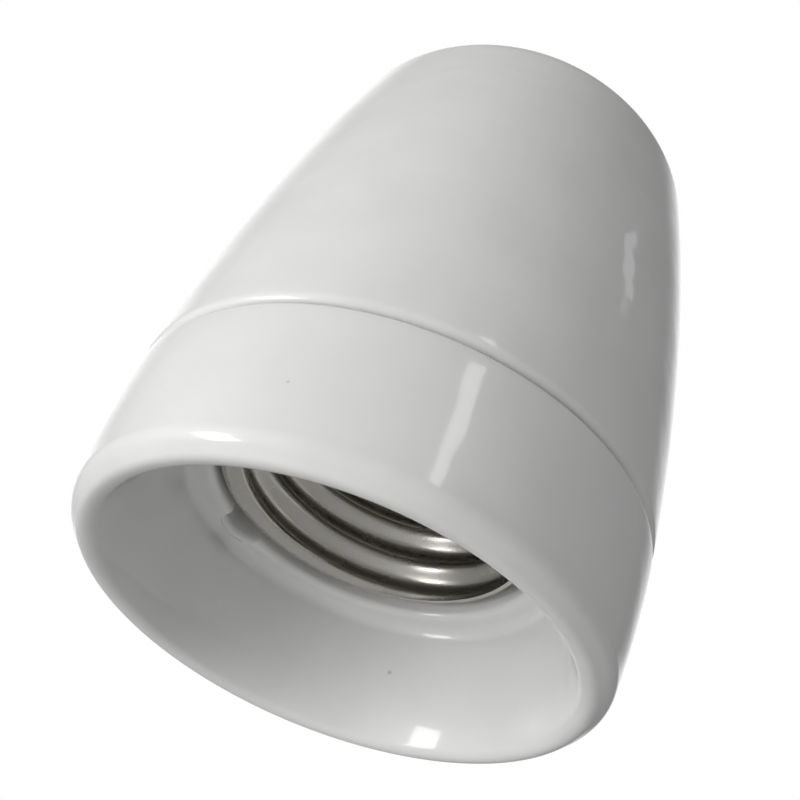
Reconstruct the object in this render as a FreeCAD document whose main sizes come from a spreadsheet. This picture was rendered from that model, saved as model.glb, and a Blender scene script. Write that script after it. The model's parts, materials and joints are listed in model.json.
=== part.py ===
import FreeCAD
import Part
import Sketcher
import math
import os
import re

# A suspended lamp holder in glazed porcelain for lamps with an E27 screw cap.
# +Z runs up the holder's axis. The origin is the centre of the mouth rim, on which it can stand.
# Three groups move: the dome with its entry, the insert with the screw shell, and the skirt ring.

SIZES = {
    # outside of the porcelain: a short skirt ring under a barrel-shaped dome
    "mouth_radius": 22.5,
    "lip_height": 3.6,
    "lip_foot": 20.5,
    "parting_radius": 23.1,
    "parting_height": 13.0,
    "parting_gap": 0.25,
    "crown_height": 58.0,
    "crown_radius": 15.3,
    "shoulder_round": 4.4,
    "shoulder_radius": 19.62,
    "shoulder_height": 54.3,
    "barrel_curve": 246.0,
    # inside of the skirt ring
    "throat_radius": 19.4,
    "ledge_height": 10.9,
    "ledge_radius": 16.0,
    "bore_radius": 14.5,
    "notch_radius": 2.3,
    "notch_angle": 136.0,
    "notch_depth": 4.5,
    # coarse moulded thread between skirt ring and dome
    "spigot_radius": 19.3,
    "spigot_top": 19.4,
    "mould_lead": 4.0,
    "mould_depth": 0.8,
    "mould_play": 0.3,
    "socket_radius": 19.75,
    "socket_top": 20.3,
    # inside of the dome
    "seat_height": 38.05,
    "insert_bore": 18.2,
    "attic_radius": 15.6,
    "attic_top": 54.0,
    "attic_round": 3.0,
    "entry_hole": 6.7,
    "entry_flat": 5.95,
    "key_width": 2.5,
    "key_depth": 1.1,
    "key_foot": 26.0,
    # steatite insert
    "insert_radius": 17.8,
    "insert_foot": 19.55,
    "insert_top": 38.0,
    "cup_radius": 14.3,
    "cup_floor": 33.0,
    "boss_radius": 7.6,
    "boss_face": 32.2,
    "keyway_width": 3.1,
    "keyway_depth": 1.35,
    # screw shell, rolled from sheet to the E27 thread
    "shell_rim": 11.6,
    "shell_sheet": 0.4,
    "shell_crest": 12.2,
    "shell_root": 13.3,
    "shell_flare": 13.65,
    "shell_window": 8.0,
    "shell_bend": 0.8,
    "thread_top": 27.4,
    "lamp_pitch": 3.629,
    "groove_base": 1.24,
    "groove_mouth": 2.4,
    "shell_screw_circle": 10.3,
    # screws through the insert, size M2.5, and their nuts
    "fixing_radius": 1.25,
    "fixing_head": 2.25,
    "fixing_head_depth": 1.5,
    "fixing_hole": 1.45,
    "fixing_slot": 0.6,
    "nut_flats": 5.0,
    "nut_depth": 2.0,
    # centre contact, a folded leaf of sheet, with its rivet
    "leaf_sheet": 0.5,
    "leaf_width": 5.0,
    "leaf_back": 7.2,
    "leaf_fold": 5.6,
    "leaf_fold_round": 1.35,
    "leaf_tip": 2.4,
    "contact_screw_reach": 5.0,
    "button_radius": 2.0,
    "button_depth": 0.9,
    "button_neck": 0.9,
    # pillar terminals and their clamp screws, size M3
    "pillar_length": 6.5,
    "pillar_width": 6.0,
    "pillar_depth": 7.5,
    "wire_hole": 1.4,
    "wire_hole_lift": 3.9,
    "nest_depth": 0.6,
    "nest_play": 0.12,
    "clamp_radius": 1.5,
    "clamp_length": 3.6,
    "fit_play": 0.04,
    # entry bush, M10x1 inside and M13x1 outside
    "tube_bore": 4.459,
    "tube_stop": 3.4,
    "tube_stop_depth": 1.4,
    "shank_radius": 6.5,
    "shank_end": 49.5,
    "collar_radius": 8.0,
    "collar_height": 6.0,
    "gasket_radius": 9.0,
    "gasket_depth": 0.8,
    "washer_radius": 9.0,
    "washer_depth": 1.0,
    "tag_depth": 0.8,
    "tag_reach": 11.6,
    "tag_width": 6.2,
    "bush_nut_flats": 17.0,
    "bush_nut_depth": 2.5,
}

doc = FreeCAD.newDocument("lamp_holder")
sheet = doc.addObject("Spreadsheet::Sheet", "dims")
for row, (alias, value) in enumerate(SIZES.items(), start=1):
    sheet.set(f"A{row}", alias)
    sheet.set(f"B{row}", str(value))
    sheet.setAlias(f"B{row}", alias)
doc.recompute()


# ---- rules: sizes written as sums and products of the sheet's aliases ----


def bound(rule):
    """The rule as an expression on the sheet's cells."""
    return re.sub(r"[a-z]\w*", lambda word: "dims." + word.group(), rule)


def number(rule):
    """The rule's value, where a space stands on each side of its + - * and / signs."""
    total, sign = 0.0, 1
    for term in re.split(r" ([+-]) ", rule):
        if term in "+-":
            sign = 1 if term == "+" else -1
            continue
        amount, divide = 1.0, False
        for factor in re.split(r" ([*/]) ", term):
            if factor in "*/":
                divide = factor == "/"
                continue
            minus = factor.startswith("-")
            name = factor.lstrip("-")
            size = float(sheet.get(name)) if name[0].isalpha() else float(name)
            size = -size if minus else size
            amount = amount / size if divide else amount * size
        total += sign * amount
    return total


# ---- sketches ----


def new_body(label):
    body = doc.addObject("PartDesign::Body", label)
    body.Label = label
    return body


def sketch_on(body, role, lift="0"):
    """An empty sketch on one of the body's own origin planes, lifted off it by a rule."""
    plane = next(f for f in body.Origin.OriginFeatures if f.Role == role)
    sketch = body.newObject("Sketcher::SketchObject", body.Label + "_sketch")
    sketch.AttachmentSupport = (plane, [""])
    sketch.MapMode = "FlatFace"
    sketch.setExpression("AttachmentOffset.Base.z", bound(lift))
    return sketch


def hold(sketch, kind, *where, rule):
    """A dimension in the sketch that follows its rule."""
    index = sketch.addConstraint(Sketcher.Constraint(kind, *where, number(rule)))
    sketch.setExpression(f"Constraints[{index}]", bound(rule))


def arc_through(start, end, radius, turn):
    """An arc under half a turn from start to end that turns left (1) or right (-1)."""
    chord = end - start
    rise = math.sqrt(max(radius**2 - chord.Length**2 / 4, 0))
    side = FreeCAD.Vector(-chord.y, chord.x, 0).normalize() * turn
    centre = (start + end) / 2 + side * rise
    first, last = (start, end) if turn > 0 else (end, start)
    angles = [math.atan2(p.y - centre.y, p.x - centre.x) for p in (first, last)]
    circle = Part.Circle(centre, FreeCAD.Vector(0, 0, 1), radius)
    return Part.ArcOfCircle(circle, angles[0], angles[1])


def outline(sketch, corners):
    """A closed chain of lines and arcs through the corners, each (across, up) for a straight run
    to that corner, or (across, up, turn, radius) for an arc to it, with turn left or right."""
    spots = [FreeCAD.Vector(number(c[0]), number(c[1]), 0) for c in corners]
    ends = []
    for i, corner in enumerate(corners):
        start, end = spots[i - 1], spots[i]
        if len(corner) == 2:
            index = sketch.addGeometry(Part.LineSegment(start, end))
            ends.append((index, 1, 2))
            continue
        turn = 1 if corner[2] == "left" else -1
        index = sketch.addGeometry(arc_through(start, end, number(corner[3]), turn))
        hold(sketch, "Radius", index, rule=corner[3])
        ends.append((index, 1, 2) if turn > 0 else (index, 2, 1))
    for i, corner in enumerate(corners):
        index, _, last = ends[i]
        following, first, _ = ends[(i + 1) % len(ends)]
        sketch.addConstraint(Sketcher.Constraint("Coincident", index, last, following, first))
        hold(sketch, "DistanceX", -1, 1, index, last, rule=corner[0])
        hold(sketch, "DistanceY", -1, 1, index, last, rule=corner[1])


def ring(sketch, across, up, radius):
    """A circle in the sketch."""
    centre = FreeCAD.Vector(number(across), number(up), 0)
    index = sketch.addGeometry(Part.Circle(centre, FreeCAD.Vector(0, 0, 1), number(radius)))
    hold(sketch, "DistanceX", -1, 1, index, 3, rule=across)
    hold(sketch, "DistanceY", -1, 1, index, 3, rule=up)
    hold(sketch, "Radius", index, rule=radius)


def box(sketch, left, right, low, high):
    """A rectangle in the sketch."""
    outline(sketch, [(left, low), (right, low), (right, high), (left, high)])


def hexagon(sketch, across, up, flats):
    """A regular hexagon in the sketch with two corners along its first axis."""
    centre = FreeCAD.Vector(number(across), number(up), 0)
    reach = number(flats) / math.sqrt(3)
    spots = [
        centre + FreeCAD.Vector(reach * math.cos(a), reach * math.sin(a), 0)
        for a in (math.radians(60 * k) for k in range(6))
    ]
    first = sketch.GeometryCount
    for k in range(6):
        sketch.addGeometry(Part.LineSegment(spots[k], spots[(k + 1) % 6]))
    rim = sketch.addGeometry(Part.Circle(centre, FreeCAD.Vector(0, 0, 1), reach), True)
    for k in range(6):
        here, following = first + k, first + (k + 1) % 6
        sketch.addConstraint(Sketcher.Constraint("Coincident", here, 2, following, 1))
        sketch.addConstraint(Sketcher.Constraint("PointOnObject", here, 1, rim))
        if k:
            sketch.addConstraint(Sketcher.Constraint("Equal", first, here))
    sketch.addConstraint(Sketcher.Constraint("Horizontal", first + 1))
    hold(sketch, "DistanceX", -1, 1, rim, 3, rule=across)
    hold(sketch, "DistanceY", -1, 1, rim, 3, rule=up)
    hold(sketch, "Radius", rim, rule=flats + " / 1.7320508")


# ---- features ----


def feature_on(sketch, kind):
    body = sketch.getParentGeoFeatureGroup()
    feature = body.newObject("PartDesign::" + kind, f"{body.Label}_{kind.lower()}")
    feature.Profile = sketch
    return body, feature


def turned(sketch):
    """The sketch turned once round the holder's axis."""
    _, feature = feature_on(sketch, "Revolution")
    feature.ReferenceAxis = (sketch, ["V_Axis"])
    feature.Angle = 360
    doc.recompute()
    return feature


def padded(sketch, depth, centred=False):
    _, feature = feature_on(sketch, "Pad")
    feature.setExpression("Length", bound(depth))
    feature.SideType = "Symmetric" if centred else "One side"
    doc.recompute()
    return feature


def pocketed(sketch, depth, centred=False):
    """Cuts the sketch's shape out of its body, upwards from the sketch or to both sides of it."""
    body = sketch.getParentGeoFeatureGroup()
    before = body.Shape.Volume
    _, feature = feature_on(sketch, "Pocket")
    feature.setExpression("Length", bound(depth))
    feature.SideType = "Symmetric" if centred else "One side"
    feature.Reversed = not centred
    doc.recompute()
    if not feature.Shape.Volume < before - 1e-3:
        raise RuntimeError(f"{feature.Name} cuts nothing")
    return feature


def threaded(sketch, kind, lead, rise):
    """Adds or cuts a right-hand helix of the sketch's section round the holder's axis."""
    body = sketch.getParentGeoFeatureGroup()
    before = body.Shape.Volume
    _, feature = feature_on(sketch, kind)
    feature.ReferenceAxis = (sketch, ["V_Axis"])
    feature.Mode = "pitch-height-angle"
    feature.setExpression("Pitch", bound(lead))
    feature.setExpression("Height", bound(rise))
    feature.LeftHanded = False
    doc.recompute()
    grown = feature.Shape.Volume - before
    if (grown > 0) != (kind == "AdditiveHelix") or abs(grown) < 1e-3:
        raise RuntimeError(f"{feature.Name} changes nothing")
    return feature


def repeated(body, feature, count):
    """The feature repeated evenly round the holder's axis."""
    pattern = body.newObject("PartDesign::PolarPattern", body.Label + "_round")
    pattern.Originals = [feature]
    axis = next(f for f in body.Origin.OriginFeatures if f.Role == "Z_Axis")
    pattern.Axis = (axis, [""])
    pattern.Angle = 360
    pattern.Occurrences = count
    body.Tip = pattern
    doc.recompute()
    return pattern


def polar(radius, degrees):
    """The rules for a place on a circle round the axis."""
    across, up = (f(math.radians(degrees)) for f in (math.cos, math.sin))
    return f"{radius} * {across:.6f}", f"{radius} * {up:.6f}"


# ---- dome: pressed porcelain, with the moulded thread inside its rim ----


def make_dome():
    body = new_body("dome")
    section = sketch_on(body, "XZ_Plane")
    outline(
        section,
        [
            ("socket_radius + 0.5", "parting_height"),
            ("parting_radius - 0.8", "parting_height"),
            ("parting_radius", "parting_height + 0.8", "left", "0.8"),
            ("shoulder_radius", "shoulder_height", "left", "barrel_curve"),
            ("crown_radius", "crown_height", "left", "shoulder_round"),
            ("entry_hole", "crown_height"),
            ("entry_hole", "attic_top"),
            ("attic_radius - attic_round", "attic_top"),
            ("attic_radius", "attic_top - attic_round", "right", "attic_round"),
            ("attic_radius", "seat_height"),
            ("insert_bore", "seat_height"),
            ("insert_bore", "socket_top"),
            ("socket_radius", "socket_top"),
            ("socket_radius", "parting_height + 0.5"),
        ],
    )
    turned(section)
    flat = sketch_on(body, "XY_Plane", "attic_top")
    box(flat, "-4", "4", "-entry_hole - 0.6", "-entry_flat")
    padded(flat, "crown_height - attic_top")
    rib = sketch_on(body, "XY_Plane", "key_foot")
    box(rib, "insert_bore - key_depth", "insert_bore + 0.6", "-key_width / 2", "key_width / 2")
    repeated(body, padded(rib, "seat_height - key_foot + 0.5"), 2)
    groove = sketch_on(body, "XZ_Plane")
    crest = "spigot_radius + mould_depth + mould_play"
    foot = "parting_height - 2"
    outline(
        groove,
        [
            ("socket_radius - 0.6", foot + " - 1.75"),
            (crest, foot + " - 0.75"),
            (crest, foot + " + 0.75"),
            ("socket_radius - 0.6", foot + " + 1.75"),
        ],
    )
    threaded(groove, "SubtractiveHelix", "mould_lead", "7.4")
    return body


# ---- skirt ring: pressed porcelain, screws up into the dome and carries the insert ----


def make_skirt_ring():
    body = new_body("skirt_ring")
    section = sketch_on(body, "XZ_Plane")
    land = "parting_height - parting_gap"
    outline(
        section,
        [
            ("lip_foot - 0.1", "0", "left", "1.0"),
            ("lip_foot + 0.2", "0"),
            ("mouth_radius - 0.95", "0.62", "left", "1.6"),
            ("mouth_radius", "lip_height", "left", "4.8"),
            ("parting_radius", land + " - 0.5"),
            ("parting_radius - 0.5", land, "left", "0.5"),
            ("spigot_radius", land),
            ("spigot_radius", "spigot_top - 0.5"),
            ("spigot_radius - 0.5", "spigot_top"),
            ("bore_radius", "spigot_top"),
            ("bore_radius", "ledge_height + 0.7"),
            ("bore_radius + 0.7", "ledge_height", "left", "0.7"),
            ("ledge_radius", "ledge_height - 0.1"),
            ("ledge_radius + 1.1", "ledge_height - 1.3", "right", "1.3"),
            ("throat_radius", "3.2"),
            ("throat_radius + 0.36", "0.9", "left", "6.0"),
        ],
    )
    turned(section)
    rope = sketch_on(body, "XZ_Plane")
    foot = "parting_height + 2"
    crest = "spigot_radius + mould_depth"
    outline(
        rope,
        [
            ("spigot_radius - 0.4", foot + " - 1.6"),
            (crest, foot + " - 0.45"),
            (crest, foot + " + 0.45"),
            ("spigot_radius - 0.4", foot + " + 1.6"),
        ],
    )
    threaded(rope, "AdditiveHelix", "mould_lead", "2.4")
    notch = sketch_on(body, "XY_Plane", "ledge_height - 1.9")
    ring(notch, *polar("bore_radius", SIZES["notch_angle"]), "notch_radius")
    pocketed(notch, "notch_depth")
    return body


# ---- insert: dry-pressed steatite, a cup round the shell under a floor for the terminals ----

LIVE_MIDDLE = "-contact_screw_reach - 0.2"
NEUTRAL_MIDDLE = "shell_screw_circle"


def make_contact_base():
    body = new_body("contact_base")
    section = sketch_on(body, "XZ_Plane")
    outline(
        section,
        [
            ("0", "boss_face"),
            ("boss_radius", "boss_face"),
            ("boss_radius", "cup_floor"),
            ("cup_radius - 0.5", "cup_floor"),
            ("cup_radius", "cup_floor - 0.5"),
            ("cup_radius", "insert_foot"),
            ("insert_radius - 0.5", "insert_foot"),
            ("insert_radius", "insert_foot + 0.5"),
            ("insert_radius", "insert_top - 0.5"),
            ("insert_radius - 0.5", "insert_top"),
            ("0", "insert_top"),
        ],
    )
    turned(section)
    keyway = sketch_on(body, "XY_Plane", "insert_foot - 1")
    box(
        keyway,
        "insert_radius - keyway_depth",
        "insert_radius + 1",
        "-keyway_width / 2",
        "keyway_width / 2",
    )
    repeated(body, pocketed(keyway, "insert_top - insert_foot + 2"), 2)
    holes = sketch_on(body, "XY_Plane", "boss_face - 1")
    ring(holes, "-contact_screw_reach", "0", "fixing_hole")
    for degrees in (0, 120, 240):
        ring(holes, *polar("shell_screw_circle", degrees), "fixing_hole")
    pocketed(holes, "insert_top - boss_face + 2")
    for degrees in (120, 240):
        nest = sketch_on(body, "XY_Plane", "insert_top - nut_depth - 0.2")
        hexagon(nest, *polar("shell_screw_circle", degrees), "nut_flats + 0.3")
        pocketed(nest, "nut_depth + 1")
    for middle in (LIVE_MIDDLE, NEUTRAL_MIDDLE):
        nest = sketch_on(body, "XY_Plane", "insert_top - nest_depth")
        box(
            nest,
            f"{middle} - pillar_length / 2 - nest_play",
            f"{middle} + pillar_length / 2 + nest_play",
            "-pillar_width / 2 - nest_play",
            "pillar_width / 2 + nest_play",
        )
        pocketed(nest, "nest_depth + 1")
    wall = sketch_on(body, "XY_Plane", "insert_top - 0.5")
    box(wall, "1.6", "3.4", "-9", "9")
    padded(wall, "6")
    return body


# ---- screw shell: sheet rolled to a thread, flared at the rim and turned in at the top ----


def make_screw_shell():
    body = new_body("screw_shell")
    section = sketch_on(body, "XZ_Plane")
    outline(
        section,
        [
            ("shell_flare", "shell_rim"),
            ("shell_flare + shell_sheet", "shell_rim"),
            ("shell_root + shell_sheet", "shell_rim + 1.6"),
            ("shell_root + shell_sheet", "cup_floor - shell_bend - shell_sheet"),
            (
                "shell_root - shell_bend",
                "cup_floor",
                "left",
                "shell_bend + shell_sheet",
            ),
            ("shell_window", "cup_floor"),
            ("shell_window", "cup_floor - shell_sheet"),
            ("shell_root - shell_bend", "cup_floor - shell_sheet"),
            ("shell_root", "cup_floor - shell_bend - shell_sheet", "right", "shell_bend"),
            ("shell_root", "thread_top + 0.6"),
            ("shell_crest", "thread_top"),
            ("shell_crest", "shell_rim + 1.9"),
        ],
    )
    turned(section)
    half_base, half_mouth = "groove_base / 2", "groove_mouth / 2"
    inner = sketch_on(body, "XZ_Plane")
    foot = "shell_rim - 2.1"
    outline(
        inner,
        [
            ("shell_crest - 0.2", f"{foot} - {half_mouth} - 0.1"),
            ("shell_root", f"{foot} - {half_base}"),
            ("shell_root", f"{foot} + {half_base}"),
            ("shell_crest - 0.2", f"{foot} + {half_mouth} + 0.1"),
        ],
    )
    threaded(inner, "SubtractiveHelix", "lamp_pitch", "thread_top - shell_rim + 3.9")
    outer = sketch_on(body, "XZ_Plane")
    foot = "shell_rim - 2.1 + lamp_pitch / 2"
    outline(
        outer,
        [
            ("shell_crest + shell_sheet", f"{foot} - 0.375"),
            ("shell_root + shell_sheet + 0.2", f"{foot} - 1.06"),
            ("shell_root + shell_sheet + 0.2", f"{foot} + 1.06"),
            ("shell_crest + shell_sheet", f"{foot} + 0.375"),
        ],
    )
    threaded(outer, "SubtractiveHelix", "lamp_pitch", "thread_top - shell_rim - 1")
    holes = sketch_on(body, "XY_Plane", "cup_floor - 2")
    for degrees in (0, 120, 240):
        ring(holes, *polar("shell_screw_circle", degrees), "fixing_hole")
    pocketed(holes, "4")
    return body


# ---- centre contact: a leaf folded back under its foot, and the rivet at its middle ----


def make_centre_contact():
    body = new_body("centre_contact")
    section = sketch_on(body, "XZ_Plane")
    top = "boss_face"
    low = "boss_face - 2 * leaf_fold_round"
    inside = "leaf_fold_round - leaf_sheet"
    outline(
        section,
        [
            ("-leaf_back", top),
            ("-leaf_back", top + " - leaf_sheet"),
            ("leaf_fold", top + " - leaf_sheet"),
            (f"leaf_fold + {inside}", top + " - leaf_fold_round", "right", inside),
            ("leaf_fold", low + " + leaf_sheet", "right", inside),
            ("2.4", low + " + leaf_sheet - 0.2"),
            ("-1.4", low + " + leaf_sheet - 0.2"),
            ("-leaf_tip", low + " + leaf_sheet + 0.3"),
            ("-leaf_tip - 0.3", low + " - 0.1"),
            ("-1.4", low + " - 0.2"),
            ("2.4", low + " - 0.2"),
            ("leaf_fold", low),
            ("leaf_fold + leaf_fold_round", top + " - leaf_fold_round", "left", "leaf_fold_round"),
            ("leaf_fold", top, "left", "leaf_fold_round"),
        ],
    )
    padded(section, "leaf_width", centred=True)
    foot_hole = sketch_on(body, "XY_Plane", "boss_face - leaf_sheet - 0.5")
    ring(foot_hole, "-contact_screw_reach", "0", "fixing_hole")
    pocketed(foot_hole, "leaf_sheet + 1")
    rivet_hole = sketch_on(body, "XY_Plane", low + " - 1")
    ring(rivet_hole, "0", "0", "button_neck + fit_play")
    pocketed(rivet_hole, "1.7")
    return body


def make_contact_button():
    body = new_body("contact_button")
    section = sketch_on(body, "XZ_Plane")
    face = "boss_face - 2 * leaf_fold_round - 0.24"
    outline(
        section,
        [
            ("0", face + " - button_depth"),
            ("0.8", face + " - button_depth"),
            ("button_radius", face + " - 0.35", "left", "1.9"),
            ("button_radius", face),
            ("button_neck", face),
            ("button_neck", face + " + leaf_sheet + 0.08"),
            ("1.4", face + " + leaf_sheet + 0.08"),
            ("1.2", face + " + leaf_sheet + 0.38"),
            ("0", face + " + leaf_sheet + 0.38"),
        ],
    )
    turned(section)
    return body


# ---- screws and nuts ----


def make_fixing_screw(label, across, up, seat, tip):
    """A slotted cheese-head screw that points up, with its head under the seat."""
    body = new_body(label)
    shank = sketch_on(body, "XY_Plane", seat)
    ring(shank, across, up, "fixing_radius")
    padded(shank, f"{tip} - {seat}")
    head = sketch_on(body, "XY_Plane", f"{seat} - fixing_head_depth")
    ring(head, across, up, "fixing_head")
    padded(head, "fixing_head_depth")
    slot = sketch_on(body, "XY_Plane", f"{seat} - fixing_head_depth - 0.2")
    box(
        slot,
        f"{across} - 3",
        f"{across} + 3",
        f"{up} - fixing_slot / 2",
        f"{up} + fixing_slot / 2",
    )
    pocketed(slot, "fixing_head_depth / 2 + 0.2")
    return body


def joined_copies(label, parts):
    """Identical fasteners that are kept as one group of separate solids."""
    group = doc.addObject("Part::Compound", label)
    group.Label = label
    group.Links = parts
    doc.recompute()
    return group


def make_shell_screws():
    seat = "cup_floor - shell_sheet"
    screws = [
        make_fixing_screw(
            f"shell_screw_{n}",
            *polar("shell_screw_circle", degrees),
            seat,
            "insert_top - 0.2",
        )
        for n, degrees in enumerate((120, 240), start=1)
    ]
    return joined_copies("shell_screws", screws)


def make_shell_nuts():
    nuts = []
    for n, degrees in enumerate((120, 240), start=1):
        body = new_body(f"shell_nut_{n}")
        place = polar("shell_screw_circle", degrees)
        plan = sketch_on(body, "XY_Plane", "insert_top - nut_depth - 0.2")
        hexagon(plan, *place, "nut_flats")
        ring(plan, *place, "fixing_radius + fit_play")
        padded(plan, "nut_depth")
        nuts.append(body)
    return joined_copies("shell_nuts", nuts)


# ---- pillar terminals: sawn brass bar, drilled for the wire, tapped for the screws ----


def make_terminal(label, middle, screw_across):
    """A pillar on the insert, its wire hole across and its fixing screw coming up from below."""
    body = new_body(label)
    foot = sketch_on(body, "XY_Plane", "insert_top - nest_depth")
    left, right = f"{middle} - pillar_length / 2", f"{middle} + pillar_length / 2"
    box(foot, left, right, "-pillar_width / 2", "pillar_width / 2")
    padded(foot, "pillar_depth")
    wire = sketch_on(body, "XZ_Plane")
    ring(wire, middle, "insert_top + wire_hole_lift", "wire_hole")
    pocketed(wire, "pillar_width + 2", centred=True)
    tapped = sketch_on(body, "XY_Plane", "insert_top - 1")
    ring(tapped, screw_across, "0", "fixing_radius + fit_play")
    pocketed(tapped, "wire_hole_lift + 1")
    clamp = sketch_on(body, "XY_Plane", "insert_top + wire_hole_lift")
    ring(clamp, middle, "0", "clamp_radius + fit_play")
    pocketed(clamp, "pillar_depth")
    corner = number("pillar_width / 2") - 0.01
    edges = [
        f"Edge{n}"
        for n, edge in enumerate(body.Shape.Edges, start=1)
        if edge.BoundBox.ZLength > 5 and abs(edge.BoundBox.Center.y) > corner
    ]
    pillar = body.Tip
    soft = body.newObject("PartDesign::Chamfer", label + "_chamfer")
    soft.Base = (pillar, edges)
    soft.Size = 0.4
    doc.recompute()
    return body


def make_clamp_screw(label, middle):
    """A slotted set screw, drawn back so that its tip just shows in the wire hole."""
    body = new_body(label)
    foot = "insert_top + wire_hole_lift + 0.9"
    stem = sketch_on(body, "XY_Plane", foot)
    ring(stem, middle, "0", "clamp_radius")
    padded(stem, "clamp_length")
    slot = sketch_on(body, "XY_Plane", f"{foot} + clamp_length - 1")
    box(slot, f"{middle} - 2", f"{middle} + 2", "-0.25", "0.25")
    pocketed(slot, "1.5")
    return body


# ---- entry: turned brass bush through the crown, held by a washer, the earth tag and a nut ----


def make_entry_bush():
    body = new_body("entry_bush")
    section = sketch_on(body, "XZ_Plane")
    seat = "crown_height + gasket_depth"
    outline(
        section,
        [
            ("tube_stop", "shank_end"),
            ("shank_radius - 0.5", "shank_end"),
            ("shank_radius", "shank_end + 0.5"),
            ("shank_radius", seat),
            ("collar_radius", seat),
            ("collar_radius", seat + " + collar_height - 0.6"),
            ("collar_radius - 0.6", seat + " + collar_height"),
            ("tube_bore + 0.6", seat + " + collar_height"),
            ("tube_bore", seat + " + collar_height - 0.6"),
            ("tube_bore", "shank_end + tube_stop_depth"),
            ("tube_stop", "shank_end + tube_stop_depth"),
        ],
    )
    turned(section)
    flat = sketch_on(body, "XY_Plane", "attic_top - washer_depth")
    box(flat, "-6", "6", "-shank_radius - 0.5", "-entry_flat + 0.1")
    pocketed(flat, "crown_height - attic_top + washer_depth")
    spanner = sketch_on(body, "XY_Plane", seat)
    box(spanner, "-8.5", "8.5", "-collar_radius - 0.5", "-collar_radius + 1")
    repeated(body, pocketed(spanner, "collar_height + 0.5"), 2)
    grub = sketch_on(body, "YZ_Plane")
    ring(grub, "0", seat + " + collar_height / 2", "clamp_radius + fit_play")
    pocketed(grub, "collar_radius + 1")
    return body


def make_entry_ring(label, low, depth, radius):
    """A flat ring round the bush's shank."""
    body = new_body(label)
    plan = sketch_on(body, "XY_Plane", low)
    ring(plan, "0", "0", radius)
    ring(plan, "0", "0", "shank_radius + 0.1")
    padded(plan, depth)
    return body


def make_bush_nut():
    body = new_body("bush_nut")
    plan = sketch_on(body, "XY_Plane", "attic_top - washer_depth - tag_depth - bush_nut_depth")
    hexagon(plan, "0", "0", "bush_nut_flats")
    ring(plan, "0", "0", "shank_radius + fit_play")
    padded(plan, "bush_nut_depth")
    return body


def make_entry_grub_screw():
    body = new_body("entry_grub_screw")
    stem = sketch_on(body, "YZ_Plane", "tube_bore + 0.3")
    height = "crown_height + gasket_depth + collar_height / 2"
    ring(stem, "0", height, "clamp_radius")
    padded(stem, "collar_radius - tube_bore - 0.3")
    slot = sketch_on(body, "YZ_Plane", "collar_radius - 0.9")
    box(slot, "-2", "2", height + " - 0.25", height + " + 0.25")
    pocketed(slot, "1.5")
    return body


def make_earth_tag():
    """A brass ring under the nut with an ear that is tapped for the earth screw."""
    body = new_body("earth_tag")
    low = "attic_top - washer_depth - tag_depth"
    plan = sketch_on(body, "XY_Plane", low)
    ring(plan, "0", "0", "washer_radius")
    padded(plan, "tag_depth")
    ear = sketch_on(body, "XY_Plane", low)
    half = "tag_width / 2"
    outline(
        ear,
        [
            (half, "0"),
            (half, "tag_reach"),
            (f"-{half}", "tag_reach", "left", half + " + 0.01"),
            (f"-{half}", "0"),
        ],
    )
    padded(ear, "tag_depth")
    holes = sketch_on(body, "XY_Plane", low + " - 1")
    ring(holes, "0", "0", "shank_radius + 0.1")
    ring(holes, "0", "tag_reach", "clamp_radius + fit_play")
    pocketed(holes, "3")
    return body


def make_earth_screw():
    """A pan-head screw whose head clamps the earth wire under the ear."""
    body = new_body("earth_screw")
    seat = "attic_top - washer_depth - tag_depth"
    shank = sketch_on(body, "XY_Plane", seat)
    ring(shank, "0", "tag_reach", "clamp_radius")
    padded(shank, "tag_depth + 0.6")
    head = sketch_on(body, "XY_Plane", seat + " - 2")
    ring(head, "0", "tag_reach", "2.75")
    padded(head, "2")
    slot = sketch_on(body, "XY_Plane", seat + " - 2.2")
    box(slot, "-3", "3", "tag_reach - 0.35", "tag_reach + 0.35")
    pocketed(slot, "1.2")
    return body


# ---- the whole holder ----

parts = [
    make_dome(),
    make_skirt_ring(),
    make_contact_base(),
    make_screw_shell(),
    make_centre_contact(),
    make_contact_button(),
    make_fixing_screw(
        "centre_contact_screw",
        "-contact_screw_reach",
        "0",
        "boss_face - leaf_sheet",
        "insert_top + 2.2",
    ),
    make_fixing_screw(
        "neutral_screw",
        "shell_screw_circle",
        "0",
        "cup_floor - shell_sheet",
        "insert_top + 2.2",
    ),
    make_shell_screws(),
    make_shell_nuts(),
    make_terminal("live_terminal", LIVE_MIDDLE, "-contact_screw_reach"),
    make_terminal("neutral_terminal", NEUTRAL_MIDDLE, "shell_screw_circle"),
    make_clamp_screw("live_clamp_screw", LIVE_MIDDLE),
    make_clamp_screw("neutral_clamp_screw", NEUTRAL_MIDDLE),
    make_entry_bush(),
    make_entry_ring("bush_gasket", "crown_height", "gasket_depth", "gasket_radius"),
    make_entry_ring("bush_washer", "attic_top - washer_depth", "washer_depth", "washer_radius"),
    make_bush_nut(),
    make_entry_grub_screw(),
    make_earth_tag(),
    make_earth_screw(),
]
doc.recompute()

for item in doc.Objects:
    if "Invalid" in item.State or "Error" in item.State:
        raise RuntimeError(f"{item.Label} did not compute: {item.State}")
os.makedirs("parts", exist_ok=True)
for part in parts:
    if part.Shape.isNull() or not part.Shape.isValid():
        raise RuntimeError(f"{part.Label} has no valid shape")
    part.Shape.exportStep(f"parts/{part.Label}.step")
    print(f"{part.Label}: {len(part.Shape.Solids)} solids, {part.Shape.Volume:.1f} mm3")
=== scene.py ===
import json
import math

import bmesh
import bpy
from mathutils import Euler, Matrix, Vector

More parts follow.
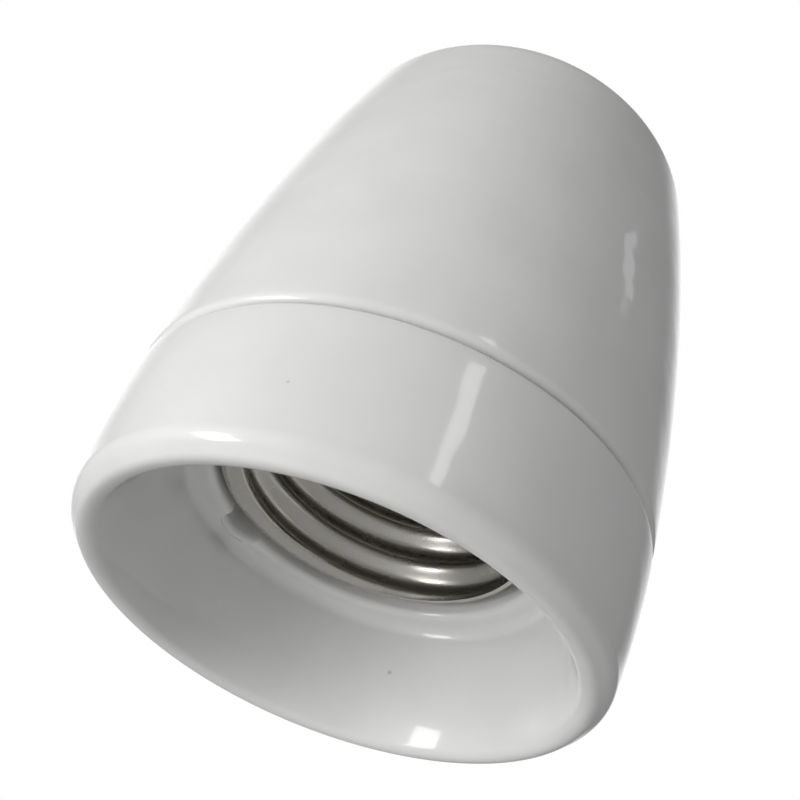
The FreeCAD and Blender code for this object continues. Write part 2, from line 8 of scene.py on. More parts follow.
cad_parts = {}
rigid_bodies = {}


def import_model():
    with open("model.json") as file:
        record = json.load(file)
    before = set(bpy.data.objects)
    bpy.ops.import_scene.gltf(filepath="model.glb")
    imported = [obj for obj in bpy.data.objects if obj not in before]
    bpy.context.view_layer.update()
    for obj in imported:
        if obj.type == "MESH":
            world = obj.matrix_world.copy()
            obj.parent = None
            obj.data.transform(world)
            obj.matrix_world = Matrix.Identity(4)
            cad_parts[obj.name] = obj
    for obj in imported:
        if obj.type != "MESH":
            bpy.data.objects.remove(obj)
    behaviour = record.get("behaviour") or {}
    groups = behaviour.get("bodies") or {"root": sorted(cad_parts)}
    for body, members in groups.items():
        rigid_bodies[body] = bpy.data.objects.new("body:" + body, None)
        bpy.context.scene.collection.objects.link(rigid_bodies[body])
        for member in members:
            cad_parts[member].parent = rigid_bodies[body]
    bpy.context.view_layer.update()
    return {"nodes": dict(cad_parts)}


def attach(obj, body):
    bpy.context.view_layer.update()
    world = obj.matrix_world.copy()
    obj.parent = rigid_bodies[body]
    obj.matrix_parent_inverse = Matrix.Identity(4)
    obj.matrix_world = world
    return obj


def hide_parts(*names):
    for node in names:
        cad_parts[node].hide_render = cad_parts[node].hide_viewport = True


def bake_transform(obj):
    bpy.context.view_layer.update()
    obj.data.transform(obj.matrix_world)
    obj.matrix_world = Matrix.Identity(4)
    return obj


# A suspended lamp holder for E27 lamps: a porcelain dome and skirt ring round a steatite insert,
# with a rolled screw shell, a sprung centre contact and a brass entry bush in the crown.
# Outlines are half-sections in millimetres, as (radius, height) over the mouth's plane.

for leftover in list(bpy.data.objects):
    bpy.data.objects.remove(leftover)
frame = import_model()
MM = 0.001


# ---- Skirt ring -------------------------------------------------------------------------------
# The short ring of the mouth, pressed in porcelain and glazed. Its coarse moulded thread screws
# into the dome, and its inner ledge carries the insert. A notch in the ledge takes a key.

LIP_RADIUS = 20.62
WIDEST_RADIUS = 23.1
PARTING_HEIGHT = 12.75
SPIGOT_RADIUS = 19.3
SPIGOT_TOP = 19.4
RING_BORE = 14.5
LEDGE_RADIUS = 16.0
LEDGE_HEIGHT = 10.9
BORE_EDGE = 0.7
NOTCH_ANGLE = 136
NOTCH_CENTRE = 13.7
NOTCH_RADIUS = 2.3
NOTCH_CEILING = 15.4
NOTCH_EDGE = 0.6
NOTCH_CORNER = 0.5

# moulded thread, which the dome's socket shares
MOULD_LEAD = 4.0
MOULD_FOOT = 15.0
MOULD_BASE = 2.4
MOULD_CREST = 0.9
MOULD_DEPTH = 0.8
MOULD_RISE = 2.4
MOULD_STEP = 0.15


def arc(start, end, radius, turn, count):
    """Points after start on the arc to end, with turn 1 to the left and -1 to the right."""
    (x0, z0), (x1, z1) = start, end
    dx, dz = x1 - x0, z1 - z0
    chord = math.hypot(dx, dz)
    rise = math.sqrt(max(radius**2 - chord**2 / 4, 0)) * turn
    cx, cz = (x0 + x1) / 2 - dz / chord * rise, (z0 + z1) / 2 + dx / chord * rise
    first = math.atan2(z0 - cz, x0 - cx)
    sweep = 2 * math.asin(min(chord / 2 / radius, 1)) * turn
    turns = [first + sweep * k / count for k in range(1, count + 1)]
    return [(cx + radius * math.cos(t), cz + radius * math.sin(t)) for t in turns]


def line(start, end, count):
    """Points after start on the straight run to end."""
    (x0, z0), (x1, z1) = start, end
    return [(x0 + (x1 - x0) * k / count, z0 + (z1 - z0) * k / count) for k in range(1, count + 1)]


def rounding(start, across, up, count, upright):
    """Points after start on a quarter turn, which sets off up or down if upright, else across."""
    points = []
    for k in range(1, count + 1):
        t = math.pi / 2 * k / count
        early, late = math.sin(t), 1 - math.cos(t)
        r, z = (late, early) if upright else (early, late)
        points.append((start[0] + across * r, start[1] + up * z))
    return points


def blend_step(x):
    """A smooth rise from 0 to 1 while x goes from 0 to 1."""
    x = min(max(x, 0.0), 1.0)
    return x * x * (3 - 2 * x)


def tidy(mesh):
    """Merges double points, turns every face outwards and keeps only edges over 38 degrees crisp."""
    work = bmesh.new()
    work.from_mesh(mesh)
    bmesh.ops.remove_doubles(work, verts=work.verts, dist=1e-7)
    loose = [edge for edge in work.edges if not edge.link_faces]
    bmesh.ops.delete(work, geom=loose, context="EDGES")
    bmesh.ops.recalc_face_normals(work, faces=work.faces)
    work.to_mesh(mesh)
    work.free()
    mesh.shade_smooth()
    mesh.set_sharp_from_angle(angle=math.radians(38))


def lathe(name, section, angles, at=(0.0, 0.0)):
    """A closed skin through one section per angle round an axis, each a closed list of (r, z)."""
    rings = [section(math.radians(a)) for a in angles]
    count = len(rings[0])
    assert all(len(ring) == count for ring in rings), name
    points = []
    for a, ring in zip(angles, rings):
        x, y = math.cos(math.radians(a)), math.sin(math.radians(a))
        points += [((at[0] + r * x) * MM, (at[1] + r * y) * MM, z * MM) for r, z in ring]
    faces = []
    for i in range(len(angles)):
        here, there = i * count, (i + 1) % len(angles) * count
        for k in range(count):
            n = (k + 1) % count
            faces.append((here + k, there + k, there + n, here + n))
    mesh = bpy.data.meshes.new(name)
    mesh.from_pydata(points, [], faces)
    tidy(mesh)
    piece = bpy.data.objects.new(name, mesh)
    bpy.context.collection.objects.link(piece)
    return piece


def mould_thread(angle, z):
    """Height of the ring's coarse right-hand thread over its spigot at one place."""
    turns = (z - MOULD_FOOT) / MOULD_LEAD - angle / math.tau
    near = min(max(round(turns), 0), math.ceil(MOULD_RISE / MOULD_LEAD))
    away = abs(turns - near) * MOULD_LEAD
    along = (near + angle / math.tau) * MOULD_LEAD
    if along > MOULD_RISE or along < 0:
        away = math.hypot(away, 2.5 * max(along - MOULD_RISE, -along))
    slope = (MOULD_BASE - MOULD_CREST) / 2
    return MOULD_DEPTH * blend_step((MOULD_BASE / 2 - away) / slope)


def notch_reach(angle):
    """How far the notch goes into the wall of the bore at one angle."""
    off = angle - math.radians(NOTCH_ANGLE)
    across = RING_BORE * math.sin(off)
    if math.cos(off) <= 0 or abs(across) >= NOTCH_RADIUS:
        return 0.0
    return max(0.0, NOTCH_CENTRE + math.sqrt(NOTCH_RADIUS**2 - across**2) - RING_BORE)


def ring_section(angle):
    """Half-section of the ring: mouth, outside, spigot with its thread, bore, notch, ledge."""
    out = [(LIP_RADIUS, 0.0)]
    out += arc(out[-1], (21.2, 0.22), 0.873, 1, 6)
    out += line(out[-1], (21.7, 0.67), 4)
    out += arc(out[-1], (22.3, 2.0), 1.8, 1, 12)
    out += arc(out[-1], (WIDEST_RADIUS, PARTING_HEIGHT - 0.5), 84.0, 1, 12)
    out += arc(out[-1], (WIDEST_RADIUS - 0.5, PARTING_HEIGHT), 0.5, 1, 8)
    out += line(out[-1], (SPIGOT_RADIUS, PARTING_HEIGHT), 4)
    last = SPIGOT_TOP - 0.5
    for k in range(1, round((last - PARTING_HEIGHT) / MOULD_STEP) + 1):
        z = PARTING_HEIGHT + MOULD_STEP * k
        out.append((SPIGOT_RADIUS + mould_thread(angle, z) * blend_step((last - z) * 4), z))
    out += arc(out[-1], (SPIGOT_RADIUS - 0.5, SPIGOT_TOP), 0.6, 1, 4)
    out += line(out[-1], (RING_BORE + 0.4, SPIGOT_TOP), 4)
    out += arc(out[-1], (RING_BORE, SPIGOT_TOP - 0.4), 0.4, 1, 4)

    # the bore's wall down to the notch, the notch's rounded edge, its ceiling, corner and wall
    depth = notch_reach(angle)
    wall = RING_BORE + depth
    edge = min(NOTCH_EDGE, depth)
    corner = min(NOTCH_CORNER, depth - edge)
    out += line(out[-1], (RING_BORE, NOTCH_CEILING + edge), 4)
    out += rounding(out[-1], edge, -edge, 5, upright=True)
    out += line(out[-1], (wall - corner, NOTCH_CEILING), 3)
    out += rounding(out[-1], corner, -corner, 5, upright=False)
    out += line(out[-1], (wall, LEDGE_HEIGHT + BORE_EDGE), 4)

    # the bore's rounded edge, thinner in the notch, then the ledge, hollow, flared throat and lip
    rim = BORE_EDGE * (1 - 0.25 * depth)
    out += rounding(out[-1], rim, -BORE_EDGE, 8, upright=True)
    out += line(out[-1], (max(LEDGE_RADIUS, wall + rim + 0.02), LEDGE_HEIGHT - 0.1), 3)
    out += arc(out[-1], (16.9, 9.6), 1.4, -1, 8)
    out += line(out[-1], (18.63, 3.3), 8)
    out += arc(out[-1], (19.57, 0.68), 18.0, 1, 12)
    out += arc(out[-1], (LIP_RADIUS, 0.0), 1.15, 1, 12)[:-1]
    return out


def srgb(code):
    """A hex colour as linear red, green, blue and full alpha."""
    parts = [int(code[i : i + 2], 16) / 255 for i in (1, 3, 5)]
    return [c / 12.92 if c <= 0.04045 else ((c + 0.055) / 1.055) ** 2.4 for c in parts] + [1.0]


def cells(size):
    """The scale of a noise whose cells are that many millimetres across."""
    return 1 / (size * MM)


def add(tree, kind, links=(), **settings):
    """A shader node with its settings and its links: (own input, node, that node's output)."""
    node = tree.nodes.new("ShaderNode" + kind)
    for key, value in settings.items():
        if key.startswith("in_"):
            node.inputs[key[3:].replace("_", " ")].default_value = value
        else:
            setattr(node, key, value)
    for own, other, output in links:
        tree.links.new(other.outputs[output], node.inputs[own])
    return node


def new_material(name):
    """An empty material and its node tree."""
    material = bpy.data.materials.new(name)
    material.use_nodes = True
    material.node_tree.nodes.clear()
    return material, material.node_tree


# Hard porcelain under a clear feldspar glaze, fired once. The glaze lies in a smooth film that
# wavers slightly over the pressed body, so reflections are sharp but not straight.
glazed_porcelain, tree = new_material("glazed_porcelain")
place = add(tree, "TexCoord")
waver = add(
    tree,
    "TexNoise",
    [("Vector", place, "Object")],
    in_Scale=cells(6.25),
    in_Detail=2.0,
    in_Roughness=0.4,
)
pores = add(
    tree,
    "TexNoise",
    [("Vector", place, "Object")],
    in_Scale=cells(2 / 3),
    in_Detail=2.0,
    in_Roughness=0.6,
)
film = add(tree, "Bump", [("Height", waver, "Fac")], in_Strength=0.35, in_Distance=0.4 * MM)
body = add(
    tree,
    "Bump",
    [("Height", pores, "Fac"), ("Normal", film, "Normal")],
    in_Strength=0.12,
    in_Distance=0.05 * MM,
)
tint = add(tree, "ValToRGB", [("Fac", waver, "Fac")])
for stop, position, code in zip(tint.color_ramp.elements, (0.3, 0.7), ("#e2e2e1", "#e6e6e5")):
    stop.position, stop.color = position, srgb(code)

# two iron specks burnt into the skirt ring, one outside and one in the throat
colour, output = tint, "Color"
for spot, radius in (((-8.83, -20.83, 5.49), 0.2), ((7.41, 16.18, 6.35), 0.28)):
    near = add(tree, "VectorMath", [(0, place, "Object")], operation="DISTANCE")
    near.inputs[1].default_value = [c * MM for c in spot]
    fade = add(
        tree,
        "MapRange",
        [("Value", near, "Value")],
        in_From_Min=0.0,
        in_From_Max=radius * MM,
        in_To_Min=0.55,
        in_To_Max=0.0,
    )
    speck = add(tree, "Mix", [(0, fade, "Result"), (6, colour, output)], data_type="RGBA")
    speck.inputs[7].default_value = srgb("#6d6762")
    colour, output = speck, 2
porcelain = add(
    tree,
    "BsdfPrincipled",
    [("Base Color", colour, output), ("Normal", body, "Normal"), ("Coat Normal", film, "Normal")],
    in_Roughness=0.42,
    in_IOR=1.5,
    in_Specular_IOR_Level=0.35,
    in_Coat_Weight=1.0,
    in_Coat_Roughness=0.08,
    in_Coat_IOR=1.52,
)
add(tree, "OutputMaterial", [("Surface", porcelain, "BSDF")])

# fine steps round the notch and wider ones round the rest
notch_angles = [122 + 0.25 * k for k in range(112)]
wide_angles = [150 + 1.25 * k for k in range(265)]
skirt_ring = lathe("skirt_ring_porcelain", ring_section, notch_angles + wide_angles)
skirt_ring.data.materials.append(glazed_porcelain)
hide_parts("skirt_ring")
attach(skirt_ring, "ring_body")


# ---- Dome -------------------------------------------------------------------------------------
# The body of the holder, pressed in porcelain and glazed. The insert's keys and the socket for
# the skirt ring's thread are moulded inside it, and its crown has a flatted hole for the bush.

DOME_FOOT = 13.0
CROWN_HEIGHT = 58.0
ENTRY_HOLE = 6.7
ENTRY_FLAT = 5.95
ATTIC_RADIUS = 15.6
ATTIC_TOP = 54.0
ATTIC_ROUND = 3.0
INSERT_BORE = 18.2
SEAT_HEIGHT = 38.05
KEY_FOOT = 26.0
KEY_WIDTH = 2.5
KEY_DEPTH = 1.1
SOCKET_RADIUS = 19.75
SOCKET_TOP = 20.3
GROOVE_DEPTH = 0.65
GROOVE_WIDTH = 2.6


def groove_depth(angle, z):
    """Depth of the socket's thread groove, which the skirt ring's thread runs in."""
    turns = (z - MOULD_FOOT) / MOULD_LEAD - angle / math.tau
    away = abs(turns - round(turns)) * MOULD_LEAD
    fade = blend_step((SOCKET_TOP - 0.3 - z) / 0.8)
    return GROOVE_DEPTH * fade * blend_step((GROOVE_WIDTH / 2 - away) / 0.7)


def dome_section(angle):
    """Half-section of the dome: rim, barrel, shoulder, crown, hole, attic, seat and socket."""
    hole = ENTRY_HOLE
    if -math.sin(angle) * ENTRY_HOLE > ENTRY_FLAT:
        hole = ENTRY_FLAT / -math.sin(angle)
    on_key = abs(INSERT_BORE * math.sin(angle)) < KEY_WIDTH / 2
    key = INSERT_BORE - KEY_DEPTH if on_key else INSERT_BORE
    out = [(20.25, DOME_FOOT)]
    out += line(out[-1], (WIDEST_RADIUS - 0.8, DOME_FOOT), 3)
    out += arc(out[-1], (WIDEST_RADIUS, DOME_FOOT + 0.8), 0.8, 1, 8)
    out += arc(out[-1], (19.62, 54.3), 246.0, 1, 48)
    out += arc(out[-1], (15.3, CROWN_HEIGHT), 4.4, 1, 18)
    out += line(out[-1], (hole + 0.4, CROWN_HEIGHT), 6)
    out += arc(out[-1], (hole, CROWN_HEIGHT - 0.4), 0.4, 1, 4)
    out += line(out[-1], (hole, ATTIC_TOP), 3)
    out += line(out[-1], (ATTIC_RADIUS - ATTIC_ROUND, ATTIC_TOP), 4)
    out += arc(out[-1], (ATTIC_RADIUS, ATTIC_TOP - ATTIC_ROUND), ATTIC_ROUND, -1, 10)
    out += line(out[-1], (ATTIC_RADIUS, SEAT_HEIGHT), 8)
    out += line(out[-1], (key, SEAT_HEIGHT), 2)
    out += line(out[-1], (key, KEY_FOOT), 8)
    out += line(out[-1], (INSERT_BORE, KEY_FOOT), 2)
    out += line(out[-1], (INSERT_BORE, SOCKET_TOP), 4)
    out += line(out[-1], (SOCKET_RADIUS, SOCKET_TOP), 2)
    first = SOCKET_TOP - 0.2
    for k in range(round((first - DOME_FOOT - 0.5) / MOULD_STEP)):
        z = first - MOULD_STEP * k
        out.append((SOCKET_RADIUS + groove_depth(angle, z), z))
    return out


dome = lathe("dome_porcelain", dome_section, [1.25 * k for k in range(288)])
dome.data.materials.append(glazed_porcelain)
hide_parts("dome")
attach(dome, "dome_body")


# ---- Insert -----------------------------------------------------------------------------------
# A cup of dry-pressed steatite, fired without a glaze. It slides up between the dome's two keys and
# rests on the ring's end. The shell is screwed under its floor and the terminals stand on top.


def dress(node, material):
    """Gives a node of the frame its finish."""
    for slot in frame["nodes"][node].material_slots:
        slot.material = material


# Unglazed steatite is chalky and slightly warm. The press powder shows as a grain of 0.4 mm, and
# handling leaves soft grey clouds some millimetres wide.
pressed_steatite, tree = new_material("pressed_steatite")
place = add(tree, "TexCoord")
grain = add(
    tree,
    "TexNoise",
    [("Vector", place, "Object")],
    in_Scale=cells(0.4),
    in_Detail=3.0,
    in_Roughness=0.6,
)
clouds = add(
    tree,
    "TexNoise",
    [("Vector", place, "Object")],
    in_Scale=cells(5.56),
    in_Detail=3.0,
    in_Roughness=0.5,
)
mottle = add(tree, "Math", [(0, grain, "Fac"), (1, clouds, "Fac")], operation="MULTIPLY")
tint = add(tree, "ValToRGB", [("Fac", mottle, "Value")])
for stop, position, code in zip(tint.color_ramp.elements, (0.12, 0.38), ("#cfc8b8", "#e2dccd")):
    stop.position, stop.color = position, srgb(code)
pitted = add(tree, "Bump", [("Height", grain, "Fac")], in_Strength=0.35, in_Distance=0.06 * MM)
chalk = add(
    tree,
    "BsdfPrincipled",
    [("Base Color", tint, "Color"), ("Normal", pitted, "Normal")],
    in_Roughness=0.72,
    in_IOR=1.58,
    in_Specular_IOR_Level=0.4,
)
add(tree, "OutputMaterial", [("Surface", chalk, "BSDF")])
dress("contact_base", pressed_steatite)


# ---- Screw shell ------------------------------------------------------------------------------
# Brass sheet 0.4 mm thick, drawn to a cup and rolled to the E27 thread, whose crests and roots
# are equal arcs that run into each other. Nickel plated, so it reflects as a bright grey metal.

SHEET = 0.4
LAMP_PITCH = 3.629
SHELL_ROOT = 13.3
SHELL_CREST = 12.2
THREAD_FOOT = 12.88
THREAD_END = 31.4
SHELL_RIM = 11.6
RIM_FLARE = 0.55
FLARE_HEIGHT = 0.8
SHELL_TOP = 33.0
SHELL_BEND = 0.8
SHELL_WINDOW = 8.0
SHELL_STEP = 0.15


def rolled_radius(angle, z):
    """Radius of the rolled sheet's inner face at one place."""
    turns = (z - THREAD_FOOT) / LAMP_PITCH - angle / math.tau
    middle, swing = (SHELL_ROOT + SHELL_CREST) / 2, (SHELL_ROOT - SHELL_CREST) / 2
    return middle + swing * math.cos(math.tau * turns)


def shell_face(angle, sheet):
    """One face of the shell from its flared rim up to the bend, sheet outside the inner face."""
    out = []
    bend_foot = SHELL_TOP - SHEET - SHELL_BEND
    for k in range(int((bend_foot - SHELL_RIM) / SHELL_STEP) + 1):
        z = SHELL_RIM + SHELL_STEP * k
        rolled = (rolled_radius(angle, z) - SHELL_ROOT) * blend_step((THREAD_END - z) / 1.2)
        flare = RIM_FLARE * blend_step((SHELL_RIM + FLARE_HEIGHT - z) / FLARE_HEIGHT)
        out.append((SHELL_ROOT + sheet + rolled + flare, z))
    return out


def shell_section(angle):
    """Half-section of the shell: outer face upwards, flange, window and inner face down again."""
    flat, under = SHELL_ROOT - SHELL_BEND, SHELL_TOP - SHEET
    foot = under - SHELL_BEND
    out = shell_face(angle, SHEET)
    out += arc((SHELL_ROOT + SHEET, foot), (flat, SHELL_TOP), SHELL_BEND + SHEET, 1, 6)
    out += [(10.0, SHELL_TOP), (SHELL_WINDOW, SHELL_TOP)]
    out += [(SHELL_WINDOW, under), (10.0, under), (flat, under)]
    out += arc(out[-1], (SHELL_ROOT, foot), SHELL_BEND, -1, 5)
    out += shell_face(angle, 0.0)[::-1]
    return out


# Bright nickel over rolled sheet. The rolling leaves faint ripples, drawn out along the thread's
# turns, and handling has dulled it in clouds a few millimetres wide.
rolled_nickel, tree = new_material("rolled_sheet_bright_nickel")
place = add(tree, "TexCoord")
smear = add(tree, "Mapping", [("Vector", place, "Object")], in_Scale=(1.0, 1.0, 9.0))
rolling = add(
    tree,
    "TexNoise",
    [("Vector", smear, "Vector")],
    in_Scale=cells(5 / 3),
    in_Detail=3.0,
    in_Roughness=0.6,
)
cloud = add(
    tree,
    "TexNoise",
    [("Vector", place, "Object")],
    in_Scale=cells(4.55),
    in_Detail=3.0,
    in_Roughness=0.5,
)
gleam = add(tree, "MapRange", [("Value", cloud, "Fac")], in_To_Min=0.2, in_To_Max=0.34)
ripple = add(tree, "Bump", [("Height", rolling, "Fac")], in_Strength=0.2, in_Distance=0.04 * MM)
nickel = add(
    tree,
    "BsdfPrincipled",
    [("Roughness", gleam, "Result"), ("Normal", ripple, "Normal")],
    in_Base_Color=srgb("#c6c3bd"),
    in_Metallic=1.0,
)
add(tree, "OutputMaterial", [("Surface", nickel, "BSDF")])

screw_shell = lathe("screw_shell_rolled", shell_section, [1.5 * k for k in range(240)])
screw_shell.data.materials.append(rolled_nickel)
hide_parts("screw_shell")
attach(screw_shell, "insert_body")


# ---- Centre contact ---------------------------------------------------------------------------
# A leaf of spring bronze, blanked and folded back under its foot. A nickel-plated button is
# riveted through it and presses on the lamp's cap. The real fold gives way by up to 1.5 mm,
# but the leaf is drawn here as one fixed piece in its rest shape.

LEAF_SHEET = 0.5
LEAF_WIDTH = 5.0
LEAF_BURR = 0.07
LEAF_ROUND = 1.0
FOOT_HEIGHT = 31.95
FOLD_REACH = 5.6
FOLD_RADIUS = 1.1
PRESS_HEIGHT = 29.56
CUTTER_SIDES = 48


def skin(name, points, faces):
    """A piece from points in millimetres and the faces between them."""
    mesh = bpy.data.meshes.new(name)
    mesh.from_pydata([tuple(c * MM for c in point) for point in points], [], faces)
    tidy(mesh)
    piece = bpy.data.objects.new(name, mesh)
    bpy.context.collection.objects.link(piece)
    return piece


def drill(name, x, y, z, radius, length, axis="Z"):
    """A round cutter along Z or X, whose middle is at x, y, z."""
    n = CUTTER_SIDES
    points = []
    for end in (-length / 2, length / 2):
        for k in range(n):
            across, up = radius * math.cos(math.tau * k / n), radius * math.sin(math.tau * k / n)
            if axis == "Z":
                points.append((x + across, y + up, z + end))
            else:
                points.append((x + end, y + across, z + up))
    sides = [(k, (k + 1) % n, n + (k + 1) % n, n + k) for k in range(n)]
    return skin(name, points, [*sides, tuple(range(n))[::-1], tuple(range(n, 2 * n))])


def block(name, low, high):
    """A square-edged cutter between two corners."""
    (x0, y0, z0), (x1, y1, z1) = low, high
    points = [(x, y, z) for z in (z0, z1) for x, y in ((x0, y0), (x1, y0), (x1, y1), (x0, y1))]
    sides = [(k, (k + 1) % 4, 4 + (k + 1) % 4, 4 + k) for k in range(4)]
    return skin(name, points, [*sides, (3, 2, 1, 0), (4, 5, 6, 7)])


def cut(piece, cutter):
    """Takes the cutter's shape out of the piece."""
    tool = piece.modifiers.new("cut", "BOOLEAN")
    tool.object, tool.operation, tool.solver = cutter, "DIFFERENCE", "EXACT"
    bpy.context.view_layer.update()
    done = piece.evaluated_get(bpy.context.evaluated_depsgraph_get())
    shape = bpy.data.meshes.new_from_object(done)
    piece.modifiers.clear()
    shape.name = piece.name
    piece.data = shape
    tidy(shape)
    bpy.data.objects.remove(cutter)


def leaf_rim(k, path):
    """The leaf's section, eight points with broken edges, at one point of its bent path."""
    x, z = path[k]
    before, after = path[max(k - 1, 0)], path[min(k + 1, len(path) - 1)]
    along = Vector((after[0] - before[0], after[1] - before[1])).normalized()
    end = min(math.dist((x, z), path[0]), math.dist((x, z), path[-1]), LEAF_ROUND)
    half = LEAF_WIDTH / 2 - LEAF_ROUND + math.sqrt(LEAF_ROUND**2 - (LEAF_ROUND - end) ** 2)
    thick = LEAF_SHEET / 2
    rim = [(half - LEAF_BURR, thick), (half, thick - LEAF_BURR)]
    rim += [(across, -up) for across, up in rim[::-1]]
    rim += [(-across, up) for across, up in rim[::-1]]
    return [(x - along.y * up, across, z + along.x * up) for across, up in rim]


path = [(-7.2, FOOT_HEIGHT)]
path += line(path[-1], (FOLD_REACH, FOOT_HEIGHT), 32)
path += arc(path[-1], (FOLD_REACH, FOOT_HEIGHT - 2 * FOLD_RADIUS), FOLD_RADIUS, -1, 16)
path += line(path[-1], (2.4, PRESS_HEIGHT), 8)
path += line(path[-1], (-1.2, PRESS_HEIGHT), 10)
path += arc(path[-1], (-2.45, 29.95), 2.2, -1, 6)
points = [point for k in range(len(path)) for point in leaf_rim(k, path)]
faces = [tuple(range(8))[::-1], tuple(range(len(points) - 8, len(points)))]
edges = [(i, (i + 1) % 8) for i in range(8)]
for low in range(0, len(points) - 8, 8):
    faces += [(low + i, low + n, low + 8 + n, low + 8 + i) for i, n in edges]
leaf = skin("centre_contact_leaf", points, faces)
cut(leaf, drill("foot_hole", -5.0, 0.0, FOOT_HEIGHT, radius=1.45, length=1.2))
cut(leaf, drill("rivet_hole", 0.0, 0.0, 29.5, radius=0.94, length=1.4))

# Rolled phosphor bronze, tinted brown by years of lamp heat. Rolling leaves faint lines along it,
# about 2 mm long and a sixteenth of that apart.
spring_bronze, tree = new_material("rolled_spring_bronze")
place = add(tree, "TexCoord")
drawn = add(tree, "Mapping", [("Vector", place, "Object")], in_Scale=(1.0, 16.0, 16.0))
lines = add(
    tree,
    "TexNoise",
    [("Vector", drawn, "Vector")],
    in_Scale=cells(2.0),
    in_Detail=3.0,
    in_Roughness=0.6,
)
stain = add(
    tree,
    "TexNoise",
    [("Vector", place, "Object")],
    in_Scale=cells(2.86),
    in_Detail=3.0,
    in_Roughness=0.55,
)
tint = add(tree, "ValToRGB", [("Fac", stain, "Fac")])
for stop, position, code in zip(tint.color_ramp.elements, (0.35, 0.65), ("#a9764a", "#cf9c6b")):
    stop.position, stop.color = position, srgb(code)
matt = add(tree, "MapRange", [("Value", lines, "Fac")], in_To_Min=0.24, in_To_Max=0.42)
ripple = add(tree, "Bump", [("Height", lines, "Fac")], in_Strength=0.2, in_Distance=0.02 * MM)
bronze = add(
    tree,
    "BsdfPrincipled",
    [("Base Color", tint, "Color"), ("Roughness", matt, "Result"), ("Normal", ripple, "Normal")],
    in_Metallic=1.0,
)
add(tree, "OutputMaterial", [("Surface", bronze, "BSDF")])
leaf.data.materials.append(spring_bronze)
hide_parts("centre_contact")
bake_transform(leaf)

BUTTON_RADIUS = 2.0
BUTTON_SHOULDER = 29.26
NECK_RADIUS = 0.9
RIVET_FOOT = 29.84


def button_section(_angle):
    """Half-section of the button: cap face, head, neck and the upset end of the rivet."""
    out = [(0.0, 28.36)]
    out += line(out[-1], (0.7, 28.38), 4)
    out += arc(out[-1], (BUTTON_RADIUS, 28.95), 2.0, 1, 10)
    out += line(out[-1], (BUTTON_RADIUS, BUTTON_SHOULDER - 0.08), 2)
    out += arc(out[-1], (BUTTON_RADIUS - 0.08, BUTTON_SHOULDER), 0.08, 1, 3)
    out += line(out[-1], (NECK_RADIUS, BUTTON_SHOULDER), 2)
    out += line(out[-1], (NECK_RADIUS, RIVET_FOOT), 3)
    out += line(out[-1], (1.4, RIVET_FOOT), 2)
    out += arc(out[-1], (1.0, 30.12), 0.42, 1, 5)
    out += line(out[-1], (0.0, 30.14), 2)
    return out


def feed_marks(spacing):
    """The scale of a wave texture whose bands lie that many millimetres apart."""
    return math.tau / 20 / (spacing * MM)


# Turned brass under bright nickel, with a feed mark each 0.12 mm. Lamp caps have rubbed it dull
# in patches less than a millimetre wide.
button_nickel, tree = new_material("turned_bright_nickel")
place = add(tree, "TexCoord")
rings = add(
    tree,
    "TexWave",
    [("Vector", place, "Object")],
    wave_type="RINGS",
    rings_direction="Z",
    in_Scale=feed_marks(0.12),
    in_Distortion=1.5,
    in_Detail=1.0,
)
rubs = add(
    tree,
    "TexNoise",
    [("Vector", place, "Object")],
    in_Scale=cells(0.714),
    in_Detail=3.0,
    in_Roughness=0.6,
)
dull = add(
    tree,
    "MapRange",
    [("Value", rubs, "Fac")],
    in_From_Min=0.35,
    in_From_Max=0.7,
    in_To_Min=0.12,
    in_To_Max=0.4,
)
tint = add(tree, "ValToRGB", [("Fac", rubs, "Fac")])
for stop, position, code in zip(tint.color_ramp.elements, (0.4, 0.75), ("#cdc8bd", "#a8a294")):
    stop.position, stop.color = position, srgb(code)
marks = add(tree, "Bump", [("Height", rings, "Fac")], in_Strength=0.25, in_Distance=0.01 * MM)
plate = add(
    tree,
    "BsdfPrincipled",
    [("Base Color", tint, "Color"), ("Roughness", dull, "Result"), ("Normal", marks, "Normal")],
    in_Metallic=1.0,
)
add(tree, "OutputMaterial", [("Surface", plate, "BSDF")])
button = lathe("contact_button_turned", button_section, [7.5 * k for k in range(48)])
button.data.materials.append(button_nickel)
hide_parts("contact_button")
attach(button, "button_body")


# ---- Screws and nuts --------------------------------------------------------------------------
# Slotted steel screws with rolled threads, M2.5 through the insert and M3 in the terminals, bush
# and earth tag, zinc plated and passivated clear. Two hexagon nuts hold the shell's plain screws.

# size M2.5
SMALL_RADIUS = 1.25
SMALL_PITCH = 0.45
SMALL_HEAD = 2.25

# size M3
CLAMP_RADIUS = 1.5
CLAMP_PITCH = 0.5

HEAD_DEPTH = 1.5
HEAD_ROUND = 0.3
SLOT_WIDTH = 0.6

# form of the thread, as shares of its pitch or of half of it
THREAD_DEPTH = 0.6
CREST_SHARE = 0.13
FLANK_SHARE = 0.7
STEPS_PER_TURN = 8


def flank(angle, z, pitch):
    """Depth of a right-hand V-thread at one place, from 0 on its crest to 1 in its root."""
    turns = z / pitch - angle / math.tau
    return min(max((abs(turns - round(turns)) * 2 - CREST_SHARE) / FLANK_SHARE, 0.0), 1.0)


